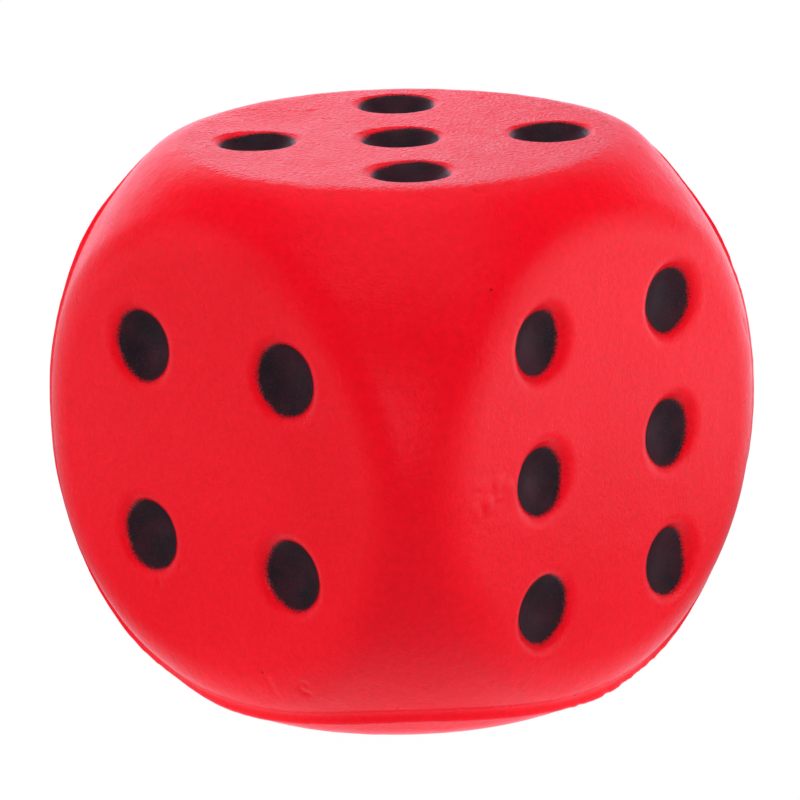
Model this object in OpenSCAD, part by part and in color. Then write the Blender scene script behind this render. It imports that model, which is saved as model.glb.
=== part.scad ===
// Large soft foam playing die.
// One moulding of flexible foam with a dense outer skin, and a film of black
// paint in each of its twenty-one dished pips.  Opposite faces add up to seven.
// Millimetres, +Z up.  The die stands on its two, with the origin at the
// middle of that face.  Six faces +X, four faces -Y and five is on top.

/* [Body] */
// Distance between opposite flat faces
across_flats = 89; // [60:1:160]
// How far the ball that rounds off the corners stands out past a flat face
ball_rise = 13.35; // [8:0.05:24]
// Radius where a flat face runs into the ball
face_blend = 10; // [4:0.5:14]
// Thickness of the dense skin over the softer core
skin_t = 1.2; // [0.6:0.1:2]

/* [Pips] */
// Diameter of a pip's mouth
pip_d = 12.9; // [8:0.1:15]
// Depth of a pip
pip_depth = 3.3; // [1.5:0.1:4]
// Radius on the lip of a pip
pip_lip = 0.7; // [0.3:0.1:1]
// Bare margin between a pip's mouth and its paint, on every face but the six
paint_margin = 0.8; // [0.6:0.05:3]
// Bare margin between a pip's mouth and its paint on the six
paint_margin_six = 1.25; // [0.6:0.05:3]
// Thickness of the paint
paint_t = 0.15; // [0.1:0.01:0.3]

/* [Pip patterns] */
// Half the spacing of the corner pips on the two, three and five
corner_pitch = 16.6; // [9:0.1:17]
// Half the spacing of the four's columns and rows
four_pitch = [15.5, 15.7]; // [9:0.1:17]
// Half the spacing of the six's columns, and the step between its rows
six_pitch = [15.6, 21.6]; // [9:0.1:22]
// How far the five's pattern lies off the middle of its face
five_drift = [1.1, 0.4]; // [-2:0.1:2]
// How far the four's pattern lies off the middle of its face
four_drift = [1.0, 1.4]; // [-2:0.1:2]
// How far the six's pattern lies off the middle of its face
six_drift = [-1.3, -0.1]; // [-2:0.1:2]

/* [Parting line] */
// Width of the ridge that the mould's parting line leaves
ridge_w = 1.2; // [0.6:0.1:2]
// Height of that ridge above the skin
ridge_h = 0.5; // [0.2:0.1:0.9]
// Greatest angle of the parting line above and below the mould's middle plane
ridge_swing = 12.5; // [6:0.5:19]

/* [Hidden] */
$fn = 96;
half = across_flats / 2;
ball_r = half + ball_rise;
over = 5;          // how far a cutting shape runs past what it cuts
bite = 0.04;       // how far a blend runs into the round that it meets

// Radius of a pip's bowl, from its mouth and its depth
bowl_r = (pow(pip_d / 2, 2) + pow(pip_depth, 2)) / (2 * pip_depth);
// Height of the bowl's centre above the face
bowl_z = bowl_r - pip_depth;
// Radius at which the lip leaves the face, and the level at which it meets the bowl
lip_reach = bowl_r + pip_lip - bite / 4;
lip_r = sqrt(pow(lip_reach, 2) - pow(bowl_z + pip_lip, 2));
lip_z = bowl_z - (bowl_z + pip_lip) * bowl_r / lip_reach;

// Two halves of a mould that opens along the diagonal from the corner (-1, 1, -1)
// to the corner (1, -1, 1): the turn that brings +Z onto that diagonal
mould_turn = [0, acos(1 / sqrt(3)), -45];
// Tilt of the three planes that hold the six edges which the parting line follows
edge_tilt = asin(1 / sqrt(3));
// Height at which the line turns to run level round a corner, half that angle, and
// how far the level stretch runs on into the two sloping ones
level_z = ball_r * sin(ridge_swing);
level_a = 30 - asin(tan(ridge_swing) / tan(edge_tilt));
level_run = 0.7 * ridge_w;

// Each face: its number as a word, the turn that brings +Z onto it, where its
// pips are, and the bare margin round its paint
diagonal = [[-1, -1] * corner_pitch, [1, 1] * corner_pitch];
square_of_four = [for (v = [1, -1], u = [-1, 1]) [u, v] * corner_pitch];
FACES = [
    ["one", [90, 0, 270], [[0, 0]], paint_margin],
    ["two", [180, 0, 0], diagonal, paint_margin],
    ["three", [90, 0, 180], concat(diagonal, [[0, 0]]), paint_margin],
    ["four", [90, 0, 0],
        [for (v = [1, -1], u = [-1, 1]) [u * four_pitch[0], v * four_pitch[1]] + four_drift],
        paint_margin],
    ["five", [0, 0, 0],
        [for (p = concat(square_of_four, [[0, 0]])) p + five_drift],
        paint_margin],
    ["six", [90, 0, 90],
        [for (v = [1, 0, -1], u = [-1, 1]) [u * six_pitch[0], v * six_pitch[1]] + six_drift],
        paint_margin_six],
];

// Name of one pip's paint, such as pip_six_4
function pip_name(face, i) = str("pip_", face[0], "_", i + 1);

// Moves its children from the middle of a face looking up to that face of the
// die, with the die's centre at the origin
module on_face(face, level) {
    rotate(face[1])
        translate([0, 0, level])
            children();
}

// What is cut from a ball to leave one flat face, blended into the ball
module face_cutter(r, h, blend) {
    reach = r + bite - blend;
    flat_r = sqrt(pow(reach, 2) - pow(h - blend, 2));
    blend_z = (h - blend) * (r + bite) / reach;
    rotate_extrude()
        difference() {
            translate([0, blend_z])
                square(r + over);
            square([flat_r, h]);
            translate([flat_r, h - blend])
                circle(blend);
        }
}

// The ball, smaller all over by inset.  Its turn keeps the seam of its surface off
// the edges that the parting line follows.
module ball(inset) {
    rotate([0, 0, -45])
        sphere(ball_r - inset);
}

// The ball with its six blended flats, smaller all over by inset
module blank(inset) {
    difference() {
        ball(inset);
        for (face = FACES)
            on_face(face, 0)
                face_cutter(ball_r - inset, half - inset, face_blend - inset);
    }
}

// The bowl of one pip and its rounded lip, as a cutter, with the face at z = 0
module pip_cutter() {
    rotate_extrude()
        difference() {
            union() {
                intersection() {
                    translate([0, bowl_z])
                        circle(bowl_r);
                    translate([0, -pip_depth - over])
                        square([bowl_r, pip_depth + over]);
                }
                translate([0, lip_z])
                    square([lip_r, over]);
            }
            translate([lip_r, -pip_lip])
                circle(pip_lip);
        }
}

// The band that the parting line follows, before it is trimmed to the ridge:
// three tilted discs between two levels, joined by level plates at the corners
module parting_band() {
    reach = ball_r + over;
    plate_half = reach * tan(level_a) + level_run;
    intersection() {
        for (k = [0:2])
            rotate([0, 0, 30 + 60 * k])
                rotate([(k % 2 == 0 ? -1 : 1) * edge_tilt, 0, 0])
                    cylinder(r = reach, h = ridge_w, center = true);
        cylinder(r = reach, h = 2 * level_z, center = true);
    }
    for (k = [0:5])
        rotate([0, 0, 60 * k])
            translate([0, 0, (k % 2 == 0 ? 1 : -1) * level_z - ridge_w / 2])
                linear_extrude(ridge_w)
                    polygon([[0, 0], [reach, -plate_half], [reach, plate_half]]);
}

// The core, one skin thickness inside the die's surface and inside its bowls
module core_blank() {
    difference() {
        blank(skin_t);
        for (face = FACES, p = face[2])
            on_face(face, half + bowl_z)
                translate(p)
                    sphere(bowl_r + skin_t);
    }
}

// The dense skin with its ridge, dished over the core
module outer_skin() {
    color("crimson")
        translate([0, 0, half])
            difference() {
                union() {
                    blank(0);
                    intersection() {
                        ball(-ridge_h);
                        rotate(mould_turn)
                            parting_band();
                    }
                }
                core_blank();
                for (face = FACES, p = face[2])
                    on_face(face, half)
                        translate(p)
                            pip_cutter();
            }
}

// The soft core that fills the skin
module foam_core() {
    color("salmon")
        translate([0, 0, half])
            core_blank();
}

// One pip's paint: a thin dish that lies on the bottom of the bowl
module pip_paint(face, i) {
    color("black")
        translate([0, 0, half])
            on_face(face, half + bowl_z)
                translate(face[2][i])
                    rotate_extrude()
                        intersection() {
                            difference() {
                                circle(bowl_r);
                                circle(bowl_r - paint_t);
                            }
                            translate([0, -bowl_r - over])
                                square([pip_d / 2 - face[3], bowl_r + over]);
                        }
}

foam_core();
outer_skin();
for (face = FACES)
    for (i = [0:len(face[2]) - 1])
        pip_paint(face, i);
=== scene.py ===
import math

import bpy
import numpy as np
from mathutils import Matrix, Vector


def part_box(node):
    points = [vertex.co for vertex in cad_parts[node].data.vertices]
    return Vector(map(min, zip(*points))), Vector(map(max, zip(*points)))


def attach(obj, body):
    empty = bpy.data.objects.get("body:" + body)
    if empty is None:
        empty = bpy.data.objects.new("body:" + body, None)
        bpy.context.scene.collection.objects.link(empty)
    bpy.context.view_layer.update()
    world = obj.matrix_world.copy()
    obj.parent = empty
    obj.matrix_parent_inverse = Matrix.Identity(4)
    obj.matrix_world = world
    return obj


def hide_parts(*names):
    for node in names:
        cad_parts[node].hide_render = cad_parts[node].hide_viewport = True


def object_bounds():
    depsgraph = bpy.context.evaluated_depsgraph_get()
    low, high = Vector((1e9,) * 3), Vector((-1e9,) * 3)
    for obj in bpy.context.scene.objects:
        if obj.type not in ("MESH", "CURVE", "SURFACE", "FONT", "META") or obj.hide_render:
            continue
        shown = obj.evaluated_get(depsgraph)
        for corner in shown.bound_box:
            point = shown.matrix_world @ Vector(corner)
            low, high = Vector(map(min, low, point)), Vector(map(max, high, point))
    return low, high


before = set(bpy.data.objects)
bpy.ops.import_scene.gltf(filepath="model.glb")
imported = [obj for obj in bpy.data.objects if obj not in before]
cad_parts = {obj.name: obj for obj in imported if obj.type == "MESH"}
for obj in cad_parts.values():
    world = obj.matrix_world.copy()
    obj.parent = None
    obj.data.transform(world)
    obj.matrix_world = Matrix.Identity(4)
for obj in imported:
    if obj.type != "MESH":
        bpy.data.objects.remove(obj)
cad_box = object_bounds()


# ---------------------------------------------------------------------------------------
# The dense red skin.  Flexible foam rises in a two-part mould and sets dense where it meets
# the cold wall: a ball with six flats and 21 dishes, with orange peel, pinholes and a line
# of flash all the way round where the halves closed.  All working sizes are in mm.
half = 1000 * (cad_box[1].x - cad_box[0].x) / 2
ball_radius = half + 13.35
face_blend = 11.0          # radius where a flat runs into the ball
skin_thickness = 1.2
body_centre = np.array([0, 0, half])

# Each face: the directions of its own x and y, and its outward normal
FACES = {
    "one": ((0, -1, 0), (0, 0, 1), (-1, 0, 0)),
    "two": ((1, 0, 0), (0, -1, 0), (0, 0, -1)),
    "three": ((-1, 0, 0), (0, 0, 1), (0, 1, 0)),
    "four": ((1, 0, 0), (0, 0, 1), (0, -1, 0)),
    "five": ((1, 0, 0), (0, 1, 0), (0, 0, 1)),
    "six": ((0, 1, 0), (0, 0, 1), (1, 0, 0)),
}

mouth_radius = 6.45        # of a dish, where its wall meets the face
lip_round = 2.8            # radius of the lip
six_drift = (0.55, 0)      # how far the six's dishes lie from where the CAD has them
five_drift = (-0.37, -0.34)     # the same for the five's middle dish


def pip_places():
    """{node: (face, middle on the face's own x and y, paint radius, depth)}, read from the
    boxes of the CAD paint."""
    places = {}
    for node in sorted(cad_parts):
        if not node.startswith("pip_"):
            continue
        face = node.split("_")[1]
        axes = np.array(FACES[face], float)
        low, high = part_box(node)
        corners = 1000 * np.array([low, high]) - body_centre
        local = corners @ axes.T
        middle = local.mean(0)[:2]
        if face == "six":
            middle = middle + six_drift
        if node == "pip_five_5":
            middle = middle + five_drift
        radius = np.ptp(local[:, 0]) / 2
        places[node] = (face, middle, radius, half - local[:, 2].min())
    return places


PIPS = pip_places()
pip_names = list(PIPS)
pip_depth = max(depth for face, middle, radius, depth in PIPS.values())
bowl_radius = (mouth_radius ** 2 + pip_depth ** 2) / (2 * pip_depth)
bowl_height = bowl_radius - pip_depth
lip_start = math.sqrt((bowl_radius + lip_round) ** 2 - (bowl_height + lip_round) ** 2)
lip_end = lip_start * bowl_radius / (bowl_radius + lip_round)


def smooth(low, high, x):
    """0 below low, 1 above high, and an S-curve between them."""
    t = np.clip((x - low) / (high - low), 0, 1)
    return t * t * (3 - 2 * t)


def noise(points, wavelength, seed):
    """A smooth random field from -1 to 1: random values on a cubic lattice, one wavelength
    apart, joined by S-curve weights along each axis."""
    side = 64
    table = np.random.default_rng(seed).uniform(-1, 1, (side, side, side))
    cell = points / wavelength
    base = np.floor(cell).astype(int)
    t = cell - base
    t = t * t * (3 - 2 * t)
    total = np.zeros(len(points))
    for corner in np.ndindex(2, 2, 2):
        weight = np.prod(np.where(corner, t, 1 - t), axis=1)
        i, j, k = ((base + corner) % side).T
        total += weight * table[i, j, k]
    return total


def blank_radius(directions, inset):
    """Distance from the die's middle to the blank along each direction.  Within the flat's
    circle it is the flat's height over the cosine; on the blend it is the far crossing of
    the line with the blend's circle; beyond that it is the ball's radius."""
    level = half - inset
    ball = ball_radius - inset
    blend = face_blend - inset
    flat = math.sqrt((ball - blend) ** 2 - (level - blend) ** 2)
    cosine = np.abs(directions).max(1)
    sine = np.sqrt(np.maximum(0, 1 - cosine ** 2))
    to_centre = sine * flat + cosine * (level - blend)
    root = to_centre ** 2 - (flat ** 2 + (level - blend) ** 2 - blend ** 2)
    on_blend = to_centre + np.sqrt(np.maximum(0, root))
    ends = math.atan2(flat, level - blend)
    on_ball = np.arctan2(sine, cosine) >= ends
    return np.where(level / cosine * sine <= flat, level / cosine, np.where(on_ball, ball, on_blend))


def dish_depth(distance):
    """Depth of a pip at a distance from its axis: the bowl's sphere inside the lip, and the
    lip's round over its edge."""
    bowl = np.sqrt(np.maximum(0, bowl_radius ** 2 - distance ** 2)) - bowl_height
    lip = lip_round - np.sqrt(np.maximum(0, lip_round ** 2 - (lip_start - distance) ** 2))
    return np.where(distance < lip_end, bowl, np.where(distance < lip_start, lip, 0))


def core_depth(distance):
    """Depth of the skin's inner side at a distance from a pip's axis: a bowl one skin
    thickness outside the pip's own."""
    radius = bowl_radius + skin_thickness
    bowl = np.sqrt(np.maximum(0, radius ** 2 - distance ** 2)) - bowl_height - skin_thickness
    return np.maximum(0, bowl)


# The skin's grid: even squares over each face, with a finer square round each dish
grid_cells = 200           # across one face
dish_square = 8.0          # half the side of the square round a dish
square_cells = 38          # across one dish's square
even_from = 31             # how far from a face's middle its lines start to turn to equal angles
square_rings = 7           # from a dish's square to its circle


def grid_lines(middles, cells, per_square):
    """Places of the grid's lines across a face: even steps over each dish's square, and
    even steps between the squares and out to the face's borders."""
    middles = sorted(set(np.round(middles, 3)))
    stops = [-half]
    for m in middles:
        stops += [m - dish_square, m + dish_square]
    stops.append(half)
    gaps = np.array(stops[1::2]) - np.array(stops[0::2])
    spare = cells - per_square * len(middles)
    counts = np.maximum(1, np.floor(spare * gaps / gaps.sum())).astype(int)
    counts[0] += (spare - counts.sum() + 1) // 2
    counts[-1] += spare - counts.sum()
    steps = [per_square] * (len(stops) - 1)
    steps[0::2] = list(counts)
    lines = [np.array([-half])]
    for start, stop, count in zip(stops, stops[1:], steps):
        lines.append(start + (stop - start) * np.arange(1, count + 1) / count)
    firsts = np.cumsum([0] + steps)[1::2]
    return np.concatenate(lines), dict(zip(middles, firsts))


def plane_grid(face, cells, per_square):
    """The face's own x and y at every crossing of its grid.  Near a border the lines move
    over to equal angles, so that two faces share the points of the edge between them."""
    middles = [middle for name, middle, radius, depth in PIPS.values() if name == face]
    across, column_of = grid_lines([m[0] for m in middles], cells, per_square)
    up, row_of = grid_lines([m[1] for m in middles], cells, per_square)
    even = half * np.tan(math.pi / 4 * np.linspace(-1, 1, cells + 1))
    edge_x = smooth(even_from, half, np.abs(across))
    edge_y = smooth(even_from, half, np.abs(up))
    x = across[:, None] * (1 - edge_y) + even[:, None] * edge_y
    y = up * (1 - edge_x[:, None]) + even * edge_x[:, None]
    squares = [(m, column_of[round(m[0], 3)], row_of[round(m[1], 3)]) for m in middles]
    return x, y, squares


def square_border(first_x, first_y, count):
    """Grid indices round a dish's square, anticlockwise from its lowest corner."""
    run = np.arange(count)
    i = np.concatenate([run, np.full(count, count), count - run, np.zeros(count, int)])
    j = np.concatenate([np.zeros(count, int), run, np.full(count, count), count - run])
    return first_x + i, first_y + j


def die_mesh(cells, per_square, radii):
    """Directions, faces and plane places of the whole die: six grids joined at their shared
    borders, with each dish's square replaced by rings that run from the square's border
    to a circle and on through the radii to the dish's middle."""
    keys, flat, face_of = [], [], []
    quads, rings = [], []
    side = cells + 1
    i, j = np.meshgrid(np.arange(side), np.arange(side), indexing="ij")
    for number, (face, axes) in enumerate(FACES.items()):
        ex, ey, normal = np.array(axes)
        x, y, squares = plane_grid(face, cells, per_square)
        offset = number * side * side
        lattice = (
            (2 * i - cells)[..., None] * ex + (2 * j - cells)[..., None] * ey + cells * normal
        )
        keys.append(lattice.reshape(-1, 3))
        flat.append(np.stack([x, y], -1).reshape(-1, 2))
        face_of.append(np.full(side * side, number))
        keep = np.ones((cells, cells), bool)
        index = offset + i * side + j
        for middle, first_x, first_y in squares:
            keep[first_x:first_x + per_square, first_y:first_y + per_square] = False
            bi, bj = square_border(first_x, first_y, per_square)
            rings.append((number, middle, index[bi, bj]))
        corners = [index[:-1, :-1], index[1:, :-1], index[1:, 1:], index[:-1, 1:]]
        quads.append(np.stack([c[keep] for c in corners], -1))
    keys, flat, face_of = map(np.concatenate, (keys, flat, face_of))
    quads = [np.concatenate(quads)]
    triangles = []
    for number, middle, border in rings:
        start = flat[border] - middle
        circle = radii[0] * start / np.linalg.norm(start, axis=1)[:, None]
        shares = np.arange(1, square_rings + 1)[:, None, None] / square_rings
        outer = start * (1 - shares) + circle * shares
        inner = circle * (radii[1:] / radii[0])[:, None, None]
        places = np.concatenate([outer, inner]) + middle
        count = len(border)
        new = len(flat) + np.arange(len(places) * count).reshape(len(places), count)
        pole = new[-1, -1] + 1
        flat = np.concatenate([flat, places.reshape(-1, 2), [middle]])
        face_of = np.concatenate([face_of, np.full(len(places) * count + 1, number)])
        loops = np.concatenate([border[None], new])
        nxt = np.roll(loops, -1, axis=1)
        quads.append(np.stack([loops[:-1], nxt[:-1], nxt[1:], loops[1:]], -1).reshape(-1, 4))
        last = loops[-1]
        triangles.append(np.stack([last, np.roll(last, -1), np.full(count, pole)], -1))
    quads = np.concatenate(quads)
    triangles = np.concatenate(triangles)
    # Points of two faces that have the same lattice key are one point
    grid_points = len(keys)
    _, first, same = np.unique(keys, axis=0, return_index=True, return_inverse=True)
    joined = np.concatenate([first[same.ravel()], np.arange(grid_points, len(flat))])
    used = np.unique(np.concatenate([joined[quads].ravel(), joined[triangles].ravel()]))
    renumber = np.full(len(flat), -1)
    renumber[used] = np.arange(len(used))
    quads = renumber[joined[quads]]
    triangles = renumber[joined[triangles]]
    flat, face_of = flat[used], face_of[used]
    axes = np.array(list(FACES.values()), float)[face_of]
    points = flat[:, :1] * axes[:, 0] + flat[:, 1:] * axes[:, 1] + half * axes[:, 2]
    directions = points / np.linalg.norm(points, axis=1)[:, None]
    return directions, face_of, quads, triangles


# The mould opens along the diagonal from the upper front corner to the lower back one, and
# its parting line swings above and below the middle plane to follow six of the edges
mould_axis = np.array([1, -1, 1]) / math.sqrt(3)
mould_x = np.array([1, -1, -2]) / math.sqrt(6)
mould_y = np.array([1, 1, 0]) / math.sqrt(2)
line_swing = math.radians(13.5)
line_pull = 0.52           # how much closer the grid is at the parting line
line_reach = math.radians(2.0)


def mould_angles(directions):
    """Angle round the mould's axis from the lowest front corner, and angle above the mould's
    middle plane, in radians."""
    round_axis = np.arctan2(directions @ mould_y, directions @ mould_x)
    above = np.arcsin(np.clip(directions @ mould_axis, -1, 1))
    return round_axis, above


def line_distance(directions):
    """Distance of each point from the parting line, in mm, above it positive.  The line swings
    as the cosine of three times the angle round the axis, and the angle over it is
    shortened by the cosine of the line's own slope."""
    turn, above = mould_angles(directions)
    slope = -3 * line_swing * np.sin(3 * turn)
    return ball_radius * (above - line_swing * np.cos(3 * turn)) * np.cos(np.arctan(slope))


def draw_to_line(directions):
    """Moves grid points towards the parting line, to half their spacing at the line, so that
    the flash is as crisp as it is on the moulding."""
    turn, above = mould_angles(directions)
    middle = line_swing * np.cos(3 * turn)
    off = above - middle
    moved = middle + off * (1 - line_pull * np.exp(-(off / line_reach) ** 2))
    ring = np.cos(turn)[:, None] * mould_x + np.sin(turn)[:, None] * mould_y
    return np.cos(moved)[:, None] * ring + np.sin(moved)[:, None] * mould_axis


def dish_axes(points, face_of):
    """For each point, the distance to the nearest dish's axis on its face, that dish's place
    in PIPS, and the way there on the face's own x and y."""
    distance = np.full(len(points), 1e3)
    nearest = np.full(len(points), -1)
    offset = np.zeros((len(points), 2))
    names = list(FACES)
    for number, (node, (face, middle, radius, depth)) in enumerate(PIPS.items()):
        axes = np.array(FACES[face], float)
        on_face = np.flatnonzero(face_of == names.index(face))
        away = (points[on_face] @ axes.T)[:, :2] - middle
        d = np.linalg.norm(away, axis=1)
        closer = d < distance[on_face]
        distance[on_face[closer]] = d[closer]
        nearest[on_face[closer]] = number
        offset[on_face[closer]] = away[closer]
    return distance, nearest, offset


def relief(points):
    """Height of the moulded skin over the true shape, in mm: slow swells, shrinkage waves
    and orange peel, each a random field of its own wavelength."""
    stretched = points * [1, 1, 1.6]
    return (
        0.10 * noise(points, 27, 11)
        + 0.07 * noise(points, 13, 12)
        + 0.030 * noise(stretched, 5.5, 13)
        + 0.018 * noise(points, 2.6, 14)
        + 0.016 * noise(points, 1.3, 15)
    )


# Dents, nicks and drips: (from, to, half width, height), places from the die's middle
MARKS = [
    ((-9.9, -44.5, 25.8), (-6.8, -44.5, 25.4), 0.35, -0.06),
    ((-12.8, -44.5, -21.5), (-12.4, -44.5, -22.0), 0.5, -0.25),
    ((-7.4, -44.5, -18.2), (-7.3, -44.5, -18.0), 0.4, -0.18),
    ((11.2, -44.4, -32.5), (12.3, -43.6, -35.2), 0.4, -0.12),
    ((-21.9, -1.6, 44.5), (-21.0, -0.6, 44.5), 0.35, -0.14),
    ((-24.1, 4.0, 44.5), (-23.4, 5.1, 44.5), 0.45, -0.18),
    ((-17.6, 2.0, 44.5), (-17.2, 2.4, 44.5), 0.30, -0.14),
    ((-13.2, 1.4, 44.5), (-11.6, 3.4, 44.5), 0.30, -0.09),
    ((-7.9, 28.1, 44.5), (-5.2, 29.3, 44.5), 0.50, -0.12),
    ((6.8, 28.1, 44.5), (7.4, 28.7, 44.5), 0.40, -0.12),
    ((43.6, 34.6, 13.7), (42.9, 35.9, 11.2), 0.6, -0.16),
    ((44.5, 12.9, 25.8), (44.5, 13.0, 25.8), 0.45, -0.3),
]
wrinkles_at = (44.5, -28.6, 0.8)
wrinkles_reach = (1, 4.2, 3.0)
wrinkles_high = 0.85
hook_at = (18.5, -43.7, -32.6)      # the middle of the C-shaped dent
hook_radius = 1.10
hook_wide = 0.34
hook_deep = 0.28


def mark_height(points):
    """Sum of the marks: each is a bell curve of the distance from its own short line.  A
    patch of wrinkled skin and a C-shaped dent, a bell curve across a ring, are added."""
    total = np.zeros(len(points))
    for start, stop, width, height in MARKS:
        a, b = np.array(start), np.array(stop)
        near = np.flatnonzero(np.linalg.norm(points - (a + b) / 2, axis=1) < 8)
        along = np.clip((points[near] - a) @ (b - a) / ((b - a) @ (b - a)), 0, 1)
        d = np.linalg.norm(points[near] - a - along[:, None] * (b - a), axis=1)
        total[near] += height * np.exp(-(d / width) ** 2)
    patch = np.exp(-(np.linalg.norm((points - wrinkles_at) / wrinkles_reach, axis=1)) ** 2)
    total += wrinkles_high * patch * np.abs(noise(points * [1, 0.6, 1], 1.5, 17))
    ring = points - hook_at
    reach = np.linalg.norm(ring, axis=1)
    open_side = 1 - smooth(0.2, 0.7, ring[:, 0] / np.maximum(reach, 1e-6))
    total -= hook_deep * open_side * np.exp(-((reach - hook_radius) / hook_wide) ** 2)
    return total


# Where the moulding stands off the true ball: (direction, half width in degrees, height)
SAGS = [
    ((0.05, 0.05, 1.0), 23, -0.20),
    ((-0.74, -0.67, 0.0), 17, -0.90),
    ((0.74, 0.67, 0.0), 15, -0.55),
    ((-0.76, -0.56, 0.33), 12, -0.30),
    ((0.34, 0.62, 0.71), 12, 0.50),
    ((-0.25, -0.57, -0.78), 9, -1.50),
    ((0.48, 0.68, 0.56), 7, -0.34),
    ((-0.47, -0.06, 0.88), 8, -0.60),
    ((-0.70, -0.38, 0.61), 8, -0.50),
    ((0.56, 0.17, -0.81), 8, -0.50),
    ((0.45, 0.22, -0.87), 9, -0.20),
]


def sag(directions):
    """How far the whole moulding stands off the true ball, in mm: a sum of bell curves of
    the angle from each middle.  Foam shrinks unevenly as it cures."""
    total = np.zeros(len(directions))
    for middle, width, height in SAGS:
        towards = directions @ (np.array(middle) / np.linalg.norm(middle))
        angle = np.degrees(np.arccos(np.clip(towards, -1, 1)))
        total += height * np.exp(-(angle / width) ** 2)
    return total


# The flash: angles are in degrees round the mould's axis, from the lowest front corner
foot_flash = 0.85          # its height round the die's foot
upright_loss = 0.45        # how much lower it is on the two upright edges
upright_starts = (60, 78)
upright_ends = (104, 118)
back_loss = 0.25           # how much lower it is past them
crumbs_at = 33             # where it tore most
crumbs_over = 9
noise_ring = 60            # radius of the ring that its noise is drawn from


def flash_height(directions):
    """Height of the flash along the parting line, in mm: a flank that rises from the upper
    half, a crest and a steep lower edge.  It is tallest round the die's foot, low on the
    two upright edges, and noise round the mould breaks its crest, most of all where the
    crumbs are."""
    turn, above = mould_angles(directions)
    away = line_distance(directions)
    ring = noise_ring * np.stack([np.cos(turn), np.sin(turn), np.zeros(len(turn))], -1)
    turned = np.abs(np.degrees(turn))
    past_upright = smooth(*upright_ends, turned)
    upright = smooth(*upright_starts, turned) * (1 - past_upright)
    tall = foot_flash - upright_loss * upright - back_loss * past_upright
    crumbs = 0.6 * noise(ring, 0.8, 21) + 0.4 * noise(ring, 1.4, 22)
    rough = 0.05 + 0.45 * np.exp(-((np.degrees(turn) - crumbs_at) / crumbs_over) ** 2)
    rough += 0.20 * smooth(0.2, 0.7, noise(ring, 16, 23))
    top = tall + 0.07 * noise(ring, 9, 24) + 0.5 * rough * crumbs
    edge = -0.42 + 0.5 * rough * crumbs
    upper = 1 - smooth(0.15, 1.25, away)
    lower = smooth(edge - 0.32, edge + 0.02, away)
    groove = -0.14 * np.exp(-((away - 1.9) / 0.6) ** 2)
    return top * upper * lower + groove


def point_normals(points, quads, triangles):
    """Unit normals at the points: the sum of the cross products of the faces round each."""
    total = np.zeros_like(points)
    for faces in (quads, triangles):
        a, b = points[faces[:, 0]], points[faces[:, 1]]
        c, d = points[faces[:, 2]], points[faces[:, -1]]
        cross = np.cross(c - a, d - b) if faces.shape[1] == 4 else np.cross(b - a, c - a)
        for corner in faces.T:
            for axis in range(3):
                total[:, axis] += np.bincount(corner, cross[:, axis], len(points))
    return total / np.linalg.norm(total, axis=1)[:, None]


def new_piece(name, points, face_groups, material):
    """A smooth-shaded mesh object with its place in its mesh, riding on the die's body.  Points
    are in mm from the die's middle; each group of faces has its own number of corners."""
    mesh = bpy.data.meshes.new(name)
    mesh.vertices.add(len(points))
    mesh.vertices.foreach_set("co", ((points + body_centre) * 0.001).astype(np.float32).ravel())
    corners = np.concatenate([faces.ravel() for faces in face_groups])
    sizes = np.concatenate([np.full(len(faces), faces.shape[1]) for faces in face_groups])
    mesh.loops.add(len(corners))
    mesh.loops.foreach_set("vertex_index", corners.astype(np.int32))
    mesh.polygons.add(len(sizes))
    mesh.polygons.foreach_set("loop_start", (np.cumsum(sizes) - sizes).astype(np.int32))
    mesh.polygons.foreach_set("use_smooth", np.ones(len(sizes), bool))
    mesh.update(calc_edges=True)
    mesh.validate()
    mesh.materials.append(material)
    piece = bpy.data.objects.new(name, mesh)
    bpy.context.scene.collection.objects.link(piece)
    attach(piece, "root")
    return piece


def add_values(piece, name, values):
    """Stores one number or one vector per point, for the material to read."""
    kind, field = ("FLOAT", "value") if values.ndim == 1 else ("FLOAT_VECTOR", "vector")
    attribute = piece.data.attributes.new(name, kind, "POINT")
    attribute.data.foreach_set(field, values.astype(np.float32).ravel())


# The paint's outline in each dish: how much wider it is than the CAD's, and how far the spray
# moved it on the face's own x and y
PAINT_SHIFT = {
    "pip_five_1": (1.60, 0.20, 0.30),
    "pip_five_2": (1.50, 0.25, 0.35),
    "pip_five_3": (1.15, 0.75, 0.40),
    "pip_five_4": (1.35, 0.80, 0.35),
    "pip_five_5": (1.30, 0.70, 0.35),
    "pip_six_1": (-0.24, 0.18, -0.04),
    "pip_six_2": (-0.05, 0.40, -0.20),
    "pip_six_3": (0.11, 0.08, -0.45),
    "pip_six_4": (0.19, 0.00, -0.38),
    "pip_six_5": (0.25, 0.45, 0.40),
    "pip_six_6": (0.26, -0.38, -0.30),
    "pip_four_1": (0.10, -0.10, -0.15),
    "pip_four_2": (0.10, -0.20, -0.05),
    "pip_four_3": (0.10, -0.05, -0.15),
}
six_oval = 0.18            # how much taller and narrower the paint on the six is
mask_stop = 0.70           # how much wider than the CAD's the paint can be inside the mask
creep = 0.60               # how much farther the spray crept over the lip at its back left


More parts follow.
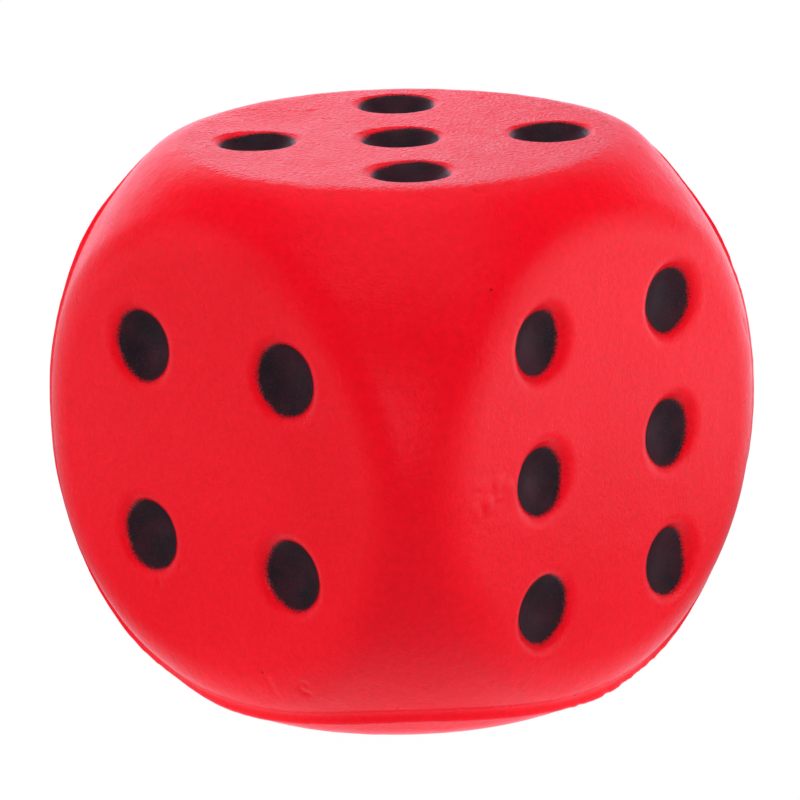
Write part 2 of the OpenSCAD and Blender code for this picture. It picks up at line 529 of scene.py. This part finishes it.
def outline_wander(angle, number):
    """How far a dish's paint runs past the CAD's circle, round the dish: the spray came a
    little from one side, the mask stops it at the dish's mouth but for its back left, where
    the spray crept on over the lip, and it wanders as a sum of five waves."""
    more, *shift = PAINT_SHIFT.get(pip_names[number], (0.0, 0.0, 0.0))
    drift = more + shift[0] * np.cos(angle) + shift[1] * np.sin(angle)
    if pip_names[number].startswith("pip_six"):
        drift = drift - six_oval * np.cos(2 * angle)
    back_left = np.maximum(0, 0.735 * np.sin(angle) - 0.678 * np.cos(angle))
    phases = np.random.default_rng(100 + number).uniform(0, 2 * math.pi, 5)
    wander = sum(0.07 / (k + 1) * np.sin((k + 2) * angle + phases[k]) for k in range(5))
    return np.minimum(drift, mask_stop + creep * back_left ** 2) + wander


def set_inputs(tree, node, inputs):
    """Links each named input of a node to the socket given for it, or sets it to the value."""
    for key, value in inputs.items():
        if isinstance(value, bpy.types.NodeSocket):
            tree.links.new(value, node.inputs[key])
        else:
            node.inputs[key].default_value = value


def node_adder(tree):
    """A short way to add a node to a tree, with its settings and its inputs."""

    def add(kind, inputs, **settings):
        node = tree.nodes.new("ShaderNode" + kind)
        for key, value in settings.items():
            setattr(node, key, value)
        set_inputs(tree, node, inputs)
        return node

    return add


def noise_at(add, place, scale, detail):
    """Smooth noise from 0 to 1 at a place."""
    return add("TexNoise", {"Vector": place, "Scale": scale, "Detail": detail}).outputs["Fac"]


def remap(add, value, before, after=(0.0, 1.0), curve="LINEAR"):
    """The value carried from one range to another, and held at the ends."""
    node = add(
        "MapRange",
        {"Value": value, "From Min": before[0], "From Max": before[1],
         "To Min": after[0], "To Max": after[1]},
        interpolation_type=curve,
    )
    return node.outputs["Result"]


def maths(add, operation, *values):
    """One sum on one, two or three values."""
    return add("Math", dict(enumerate(values)), operation=operation).outputs["Value"]


def ramp(add, value, *stops):
    """A colour that runs between two (place, colour) stops as the value rises."""
    node = add("ValToRGB", {"Fac": value})
    for element, (place, colour) in zip(node.color_ramp.elements, stops):
        element.position = place
        element.color = (*colour, 1)
    return node.outputs["Color"]


def mixed(add, factor, first, second):
    """The first colour turned into the second by the factor."""
    node = add("Mix", {"Factor": factor, "A": first, "B": second}, data_type="RGBA")
    return node.outputs["Result"]


def bump(add, height, strength, distance):
    """The normal tilted by a height that runs over the surface."""
    node = add("Bump", {"Height": height, "Strength": strength, "Distance": distance})
    return node.outputs["Normal"]


def new_material(name):
    """A material, its node tree, its shader, the short way to add nodes, and the place in
    the object that all its patterns hang on."""
    material = bpy.data.materials.new(name)
    material.use_nodes = True
    tree = material.node_tree
    add = node_adder(tree)
    place = add("TexCoord", {}).outputs["Object"]
    return material, tree, tree.nodes["Principled BSDF"], add, place


def paint_colour(add, place):
    """Black spray paint: near black, browner where it went on thin, with grey droplets."""
    tone = ramp(
        add,
        noise_at(add, place, 210.0, 3.0),
        (0.34, (0.0150, 0.0105, 0.0120)),
        (0.72, (0.0400, 0.0130, 0.0170)),
    )
    drops = add("TexVoronoi", {"Vector": place, "Scale": 2600.0})
    spots = remap(add, drops.outputs["Distance"], (0.05, 0.32), (0.55, 0.0))
    return mixed(add, spots, tone, (0.060, 0.050, 0.055, 1))


def pinholes(add, place):
    """How deep each point is in one of the bubbles that met the mould's wall, 0 to 1.  Only
    some cells of the pattern have a hole, and the holes differ in size."""
    cells = add("TexVoronoi", {"Vector": place, "Scale": 190.0})
    drawn = add("SeparateColor", {"Color": cells.outputs["Color"]})
    size = remap(add, drawn.outputs["Red"], (0.68, 1.0), (0.0, 0.062))
    inside = maths(add, "SUBTRACT", size, cells.outputs["Distance"])
    return remap(add, inside, (0.0, 0.03))


def paint_cover(add, place):
    """How much of the pips' paint lies at each point: its distance outside the outline,
    broken by the streaks and the mist of the spray."""
    outside = add("Attribute", {}, attribute_name="spray").outputs["Fac"]
    ray = add("Attribute", {}, attribute_name="ray").outputs["Vector"]
    streak = maths(add, "MULTIPLY_ADD", noise_at(add, ray, 1.0, 2.0), 0.50, -0.25)
    mist = maths(add, "MULTIPLY_ADD", noise_at(add, place, 3600.0, 2.0), 1.0, -0.50)
    edge = maths(add, "ADD", maths(add, "ADD", streak, mist), outside)
    return remap(add, edge, (-0.26, 0.30), (1.0, 0.0))


def skin_material():
    """Pigmented foam skin: deep red with slow variation of tone, pinholes darkened with painted shade,
    pale specks of painted sparkle on the upward face, a fine grain, and the ragged edge of the pips'
    paint with its overspray."""
    material, tree, principled, add, place = new_material("skin_foam")
    red = ramp(
        add,
        noise_at(add, place, 38.0, 3.0),
        (0.30, (0.770, 0.0030, 0.0100)),
        (0.72, (0.830, 0.0042, 0.0135)),
    )
    fleck = remap(add, noise_at(add, place, 900.0, 2.0), (0.25, 0.75), (0.93, 1.07))
    flecked = add("VectorMath", {0: red, 1: fleck}, operation="MULTIPLY").outputs["Vector"]
    hole = pinholes(add, place)
    # Each pinhole's colour goes to a deep red: painted shade in the hole, on top of the dent that the
    # bump gives it.
    pinhole_shaded_red = mixed(add, hole, flecked, (0.26, 0.001, 0.004, 1))
    # The five's side was uppermost in the mould, where bubbles gather and the foam last
    # flowed.  It has a coarser grain and faint flow lines, and pale specks mixed into its colour:
    # painted sparkle, the glints of that grain.
    facing = add("SeparateXYZ", {"Vector": add("TexCoord", {}).outputs["Normal"]})
    upper = remap(add, facing.outputs["Z"], (0.955, 0.999), curve="SMOOTHSTEP")
    # Pale pink specks on the upward face only: painted sparkle standing in for the glints of its
    # grain.
    specks = add("TexVoronoi", {"Vector": place, "Scale": 2200.0})
    drawn = add("SeparateColor", {"Color": specks.outputs["Color"]})
    sparkle_amount = remap(add, drawn.outputs["Red"], (0.0, 1.0), (0.0, 0.105))
    painted_sparkle = maths(add, "MULTIPLY", sparkle_amount, upper)
    sparkle_painted_red = mixed(add, painted_sparkle, pinhole_shaded_red, (0.95, 0.62, 0.66, 1))
    along = add(
        "Mapping",
        {"Vector": place, "Rotation": (0, 0, math.radians(-35)), "Scale": (0.16, 1, 1)},
    )
    flow = noise_at(add, along.outputs["Vector"], 260.0, 2.0)
    froth = add("TexVoronoi", {"Vector": place, "Scale": 1500.0})
    coarse = maths(add, "MULTIPLY_ADD", flow, 0.8, froth.outputs["Distance"])
    frothy = maths(add, "MULTIPLY", coarse, upper)
    grain = noise_at(add, place, 2500.0, 2.0)
    grainy = maths(add, "MULTIPLY_ADD", noise_at(add, place, 1000.0, 1.0), 0.7, grain)
    pits = maths(add, "MULTIPLY_ADD", hole, -4.0, grainy)
    height = maths(add, "MULTIPLY_ADD", frothy, 3.4, pits)
    set_inputs(tree, principled, {
        "Base Color": mixed(add, paint_cover(add, place), sparkle_painted_red, paint_colour(add, place)),
        "Roughness": remap(add, noise_at(add, place, 160.0, 4.0), (0.3, 0.7), (0.25, 0.34)),
        "IOR": 1.25,
        "Normal": bump(add, height, 1.0, 0.00006),
    })
    return material


# The rings round each dish's middle, and the skin's inner side, which needs a coarse grid
lip_rings = 7
bowl_rings = 18
inner_cells = 72
inner_square_cells = 14
inner_reach = 7.1
inner_rings = 9
bare = 3.0                 # distance past a paint's outline that counts as bare foam
streaks = 38               # how finely the spray's streaks divide a dish's rim
streak_run = 2.0           # how fast they change away from the dish's middle
streak_step = 7.3          # what sets one dish's streaks apart from the next's


def foam_skin():
    """The closed shell: the outer surface with its relief, and the plain inner surface
    turned to face the core.  Each point of it knows how far it is outside its pip's paint,
    and where it is on the streaks that the spray ran in."""
    lip_arc = lip_start - (lip_start - lip_end) * np.sin(np.linspace(0, math.pi / 2, lip_rings))
    bowl_arc = lip_end * np.linspace(1, 0, bowl_rings)[1:-1]
    radii = np.concatenate([lip_arc, bowl_arc])
    directions, face_of, quads, triangles = die_mesh(grid_cells, square_cells, radii)
    directions = draw_to_line(directions)
    points = directions * (blank_radius(directions, 0) + sag(directions))[:, None]
    axes = np.array(list(FACES.values()), float)[face_of]
    distance, nearest, offset = dish_axes(points, face_of)
    points -= axes[:, 2] * dish_depth(distance)[:, None]
    height = relief(points) + mark_height(points) + flash_height(directions)
    points += point_normals(points, quads, triangles) * height[:, None]
    points[:, 2] = np.maximum(points[:, 2], -half)

    inner_radii = np.linspace(inner_reach, 0, inner_rings)[:-1]
    inside, inner_face, inner_quads, inner_triangles = die_mesh(
        inner_cells, inner_square_cells, inner_radii
    )
    inner = inside * blank_radius(inside, skin_thickness)[:, None]
    inner_axes = np.array(list(FACES.values()), float)[inner_face]
    inner -= inner_axes[:, 2] * core_depth(dish_axes(inner, inner_face)[0])[:, None]

    count = len(points)
    piece = new_piece(
        "foam_skin",
        np.concatenate([points, inner]),
        [
            np.concatenate([quads, inner_quads[:, ::-1] + count]),
            np.concatenate([triangles, inner_triangles[:, ::-1] + count]),
        ],
        skin_material(),
    )
    angle = np.arctan2(offset[:, 1], offset[:, 0])
    radius_of = np.array([radius for face, middle, radius, depth in PIPS.values()])
    nominal = radius_of[nearest]
    for number in range(len(PIPS)):
        own = nearest == number
        nominal[own] += outline_wander(angle[own], number)
    spray = np.clip(distance - nominal, -bare, bare)
    spray = np.where(nearest < 0, bare, spray)
    along = streak_run * distance
    ray = np.stack(
        [streaks * np.cos(angle), streaks * np.sin(angle), along + streak_step * nearest], -1
    )
    add_values(piece, "spray", np.concatenate([spray, np.full(len(inner), bare)]))
    add_values(piece, "ray", np.concatenate([ray, np.zeros((len(inner), 3))]))
    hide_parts("outer_skin")


foam_skin()


# ---------------------------------------------------------------------------------------
# The paint in the 21 dishes: black, sprayed through a mask into each bowl after moulding,
# so each film is thickest in the middle and breaks up into streaks and droplets at its rim.
film_thickness = 0.07
film_inside = 0.25         # how far the solid film stops inside its ragged outline
film_sink = 0.02           # how far its rim dips under the foam
film_bed = 0.06            # how far its underside lies in the foam
film_rings = 15
film_spokes = 112


def paint_material():
    """Black spray paint on foam: satin, with a grain of droplets and a thin brown haze."""
    material, tree, principled, add, place = new_material("pip_paint")
    set_inputs(tree, principled, {
        "Base Color": paint_colour(add, place),
        "Roughness": remap(add, noise_at(add, place, 300.0, 3.0), (0.3, 0.7), (0.42, 0.56)),
        "IOR": 1.22,
        "Normal": bump(add, noise_at(add, place, 2400.0, 2.0), 0.5, 0.00008),
    })
    return material


def paint_film(node, number, material):
    """One film: rings and spokes over the bowl's sphere, out to the wandering outline.  The
    top stands over the foam by the film's thickness and dips under it at the rim; the
    underside lies just inside the foam."""
    face, middle, radius, depth = PIPS[node]
    angle = np.linspace(0, 2 * math.pi, film_spokes, endpoint=False)
    reach = radius - film_inside + outline_wander(angle, number)
    share = (np.arange(1, film_rings + 1) / film_rings) ** 0.9
    away = share[:, None] * reach
    x = np.concatenate([[0], (away * np.cos(angle)).ravel()])
    y = np.concatenate([[0], (away * np.sin(angle)).ravel()])
    fall = np.concatenate([[0], np.repeat(share, film_spokes)])
    axes = np.array(FACES[face], float)
    distance = np.hypot(x, y)
    local = np.stack([x + middle[0], y + middle[1], half - dish_depth(distance)], -1)
    flat = np.stack([local[:, 0], local[:, 1], np.full(len(x), half)], -1) @ axes
    outwards = flat / np.linalg.norm(flat, axis=1)[:, None]
    foam = local @ axes + outwards * sag(outwards)[:, None]
    bowl_middle = np.array([middle[0], middle[1], half + bowl_height]) @ axes
    inward = (bowl_middle - foam) / np.linalg.norm(bowl_middle - foam, axis=1)[:, None]
    grain = 1 + 0.35 * noise(foam, 0.9, 31)
    over = film_thickness * grain * (1 - smooth(0.80, 1.0, fall)) - film_sink * smooth(0.90, 1.0, fall)
    foam = foam + inward * (relief(foam) + mark_height(foam))[:, None]
    top = foam + inward * over[:, None]
    under = foam - inward * (film_bed + 0.02 * (1 - fall))[:, None]
    count = len(foam)
    index = 1 + np.arange(film_rings * film_spokes).reshape(film_rings, film_spokes)
    nxt = np.roll(index, -1, axis=1)
    quads = np.stack([index[:-1], index[1:], nxt[1:], nxt[:-1]], -1).reshape(-1, 4)
    fan = np.stack([np.zeros(film_spokes, int), index[0], nxt[0]], -1)
    rim = np.stack([index[-1], index[-1] + count, nxt[-1] + count, nxt[-1]], -1)
    piece = new_piece(
        node.replace("pip_", "paint_"),
        np.concatenate([top, under]),
        [
            np.concatenate([quads, quads[:, ::-1] + count, rim]),
            np.concatenate([fan, fan[:, ::-1] + count]),
        ],
        material,
    )
    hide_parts(node)


paint = paint_material()
for number, node in enumerate(PIPS):
    paint_film(node, number, paint)


# ---------------------------------------------------------------------------------------
# The soft core: the open-celled inside of the same pour, sealed all round by the skin.
# It keeps its CAD shape, which the skin's inner side follows.
def core_material():
    """Open-celled foam: paler red, matt, with cells of about half a millimetre, each darker in its
    middle: painted shade in the pore.
    """
    material, tree, principled, add, place = new_material("core_foam")
    cells = add("TexVoronoi", {"Vector": place, "Scale": 1700.0}).outputs["Distance"]
    # The colour darkens towards each cell's middle, where the bump sinks: painted shade in the pores.
    set_inputs(tree, principled, {
        "Base Color": ramp(
            add, cells, (0.0, (0.50, 0.020, 0.030)), (0.6, (0.78, 0.110, 0.120))
        ),
        "Roughness": 0.9,
        "Normal": bump(add, cells, 0.9, 0.0003),
    })
    return material


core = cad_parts["foam_core"]
core.data.materials.clear()
core.data.materials.append(core_material())


# ---------------------------------------------------------------------------------------
# The studio: a white sweep that runs up into a bright backdrop behind the die, soft fills
# that leave no highlight, three soft boxes that do, and a long lens.
view_azimuth = math.radians(42.654)
view_elevation = math.radians(17.337)
view_roll = math.radians(-1.240)
view_distance = 0.62536
frame_side = 800


def studio_directions():
    """The camera's backward, right and up directions, from its azimuth, elevation and roll."""
    back = Vector((
        math.sin(view_azimuth) * math.cos(view_elevation),
        -math.cos(view_azimuth) * math.cos(view_elevation),
        math.sin(view_elevation),
    ))
    level = Vector((math.cos(view_azimuth), math.sin(view_azimuth), 0))
    upright = back.cross(level)
    right = level * math.cos(view_roll) + upright * math.sin(view_roll)
    up = upright * math.cos(view_roll) - level * math.sin(view_roll)
    return back, right, up


def studio_camera():
    """The camera, aimed so that the die's middle sits a hair left of and above the frame's."""
    back, right, up = studio_directions()
    data = bpy.data.cameras.new("camera")
    data.sensor_width = 36
    data.lens = 172.307
    data.shift_x = -2.06 / frame_side
    data.shift_y = 0.70 / frame_side
    data.clip_start = 0.01
    data.clip_end = 50
    camera = bpy.data.objects.new("camera", data)
    place = Vector((0, 0, 0.001 * half)) + back * view_distance
    axes = Matrix((right, up, back)).transposed().to_4x4()
    camera.matrix_world = Matrix.Translation(place) @ axes
    bpy.context.scene.collection.objects.link(camera)
    bpy.context.scene.camera = camera


def studio_world():
    """White all round for what is seen.  As light it is a white backdrop low down behind the
    die, and dim elsewhere, where the fills light it."""
    back, right, up = studio_directions()
    world = bpy.data.worlds.new("studio")
    world.use_nodes = True
    bpy.context.scene.world = world
    tree = world.node_tree
    tree.nodes.clear()
    add = node_adder(tree)
    direction = add("TexCoord", {}).outputs["Generated"]
    front = add("VectorMath", {0: direction, 1: tuple(back)}, operation="DOT_PRODUCT")
    far_side = remap(add, front.outputs["Value"], (-0.25, -0.80), curve="SMOOTHSTEP")
    height = add("SeparateXYZ", {"Vector": direction})
    low = remap(add, height.outputs["Z"], (0.62, 0.30), curve="SMOOTHSTEP")
    backdrop = maths(add, "MULTIPLY", far_side, low)
    strength = maths(add, "MULTIPLY_ADD", backdrop, 0.76, 0.12)
    light = add("Background", {"Color": (1, 0.80, 1.06, 1), "Strength": strength})
    seen = add("Background", {"Color": (1, 1, 1, 1), "Strength": 1.0})
    by_eye = add("LightPath", {}).outputs["Is Camera Ray"]
    mix = add("MixShader", {0: by_eye, 1: light.outputs[0], 2: seen.outputs[0]})
    add("OutputWorld", {"Surface": mix.outputs[0]})


def soft_box(name, azimuth, elevation, distance, size, power, seen_in_gloss=True):
    """A square area light that faces the die from that side."""
    a, e = math.radians(azimuth), math.radians(elevation)
    away = Vector((math.sin(a) * math.cos(e), -math.cos(a) * math.cos(e), math.sin(e)))
    data = bpy.data.lights.new(name, "AREA")
    data.shape = "SQUARE"
    data.size = size
    data.energy = power
    data.color = (1, 0.86, 1)
    lamp = bpy.data.objects.new(name, data)
    lamp.visible_camera = False
    lamp.visible_glossy = seen_in_gloss
    lamp.location = Vector((0, 0, 0.001 * half)) + away * distance
    lamp.rotation_mode = "QUATERNION"
    lamp.rotation_quaternion = away.to_track_quat("Z", "Y")
    bpy.context.scene.collection.objects.link(lamp)


floor_side = 6.0


def studio_floor():
    """A white sweep that looks plain white to the eye.  As light it is brightest under the
    die and to its back right, and dim towards the camera."""
    mesh = bpy.data.meshes.new("floor")
    reach = floor_side / 2
    corners = [(-reach, -reach, 0), (reach, -reach, 0), (reach, reach, 0), (-reach, reach, 0)]
    mesh.from_pydata(corners, [], [(0, 1, 2, 3)])
    floor = bpy.data.objects.new("floor", mesh)
    bpy.context.scene.collection.objects.link(floor)
    material, tree, principled, add, place = new_material("white_sweep")
    tree.nodes.remove(principled)

    def band(measure, before, after):
        return remap(add, measure.outputs["Value"], before, after, curve="SMOOTHSTEP")

    away = add("VectorMath", {0: place}, operation="LENGTH")
    back_right = add("VectorMath", {0: place, 1: (0.68, 0.73, 0)}, operation="DOT_PRODUCT")
    in_front = add("VectorMath", {0: place, 1: (0.68, -0.73, 0)}, operation="DOT_PRODUCT")
    pool = band(away, (0.036, 0.080), (1.20, 0.42))
    far = band(away, (0.11, 0.19), (0.0, 0.36))
    bright = band(back_right, (0.08, 0.18), (0.0, 0.80))
    shaded = band(in_front, (0.11, 0.20), (0.0, -0.62))
    outer = maths(add, "ADD", maths(add, "ADD", far, bright), shaded)
    whole = maths(add, "ADD", pool, outer)
    glow = add("Emission", {"Color": (1, 0.87, 1.03, 1), "Strength": whole})
    plain = add("Emission", {"Color": (1, 1, 1, 1), "Strength": 0.99})
    matt = add("BsdfDiffuse", {"Color": (0.02, 0.02, 0.02, 1)})
    soft = add("AddShader", {0: plain.outputs[0], 1: matt.outputs[0]})
    by_eye = add("LightPath", {}).outputs["Is Camera Ray"]
    mix = add("MixShader", {0: by_eye, 1: glow.outputs[0], 2: soft.outputs[0]})
    set_inputs(tree, tree.nodes["Material Output"], {"Surface": mix.outputs[0]})
    mesh.materials.append(material)


studio_camera()
studio_world()
soft_box("front_fill", 36, 11, 0.9, 0.35, 3.6, seen_in_gloss=False)
soft_box("left_fill", -45, 12, 0.9, 0.6, 4.6, seen_in_gloss=False)
soft_box("right_fill", 120, 8, 0.9, 0.6, 4.6, seen_in_gloss=False)
soft_box("top_fill", 222, 65, 0.9, 0.6, 5.1, seen_in_gloss=False)
soft_box("overhead_box", 42, 72, 0.9, 0.8, 1.8)
soft_box("right_box", 137, 5, 0.6, 0.4, 0.4)
soft_box("back_box", 240, 14, 0.40, 0.30, 0.16)
studio_floor()
bpy.context.scene.view_settings.view_transform = "Standard"
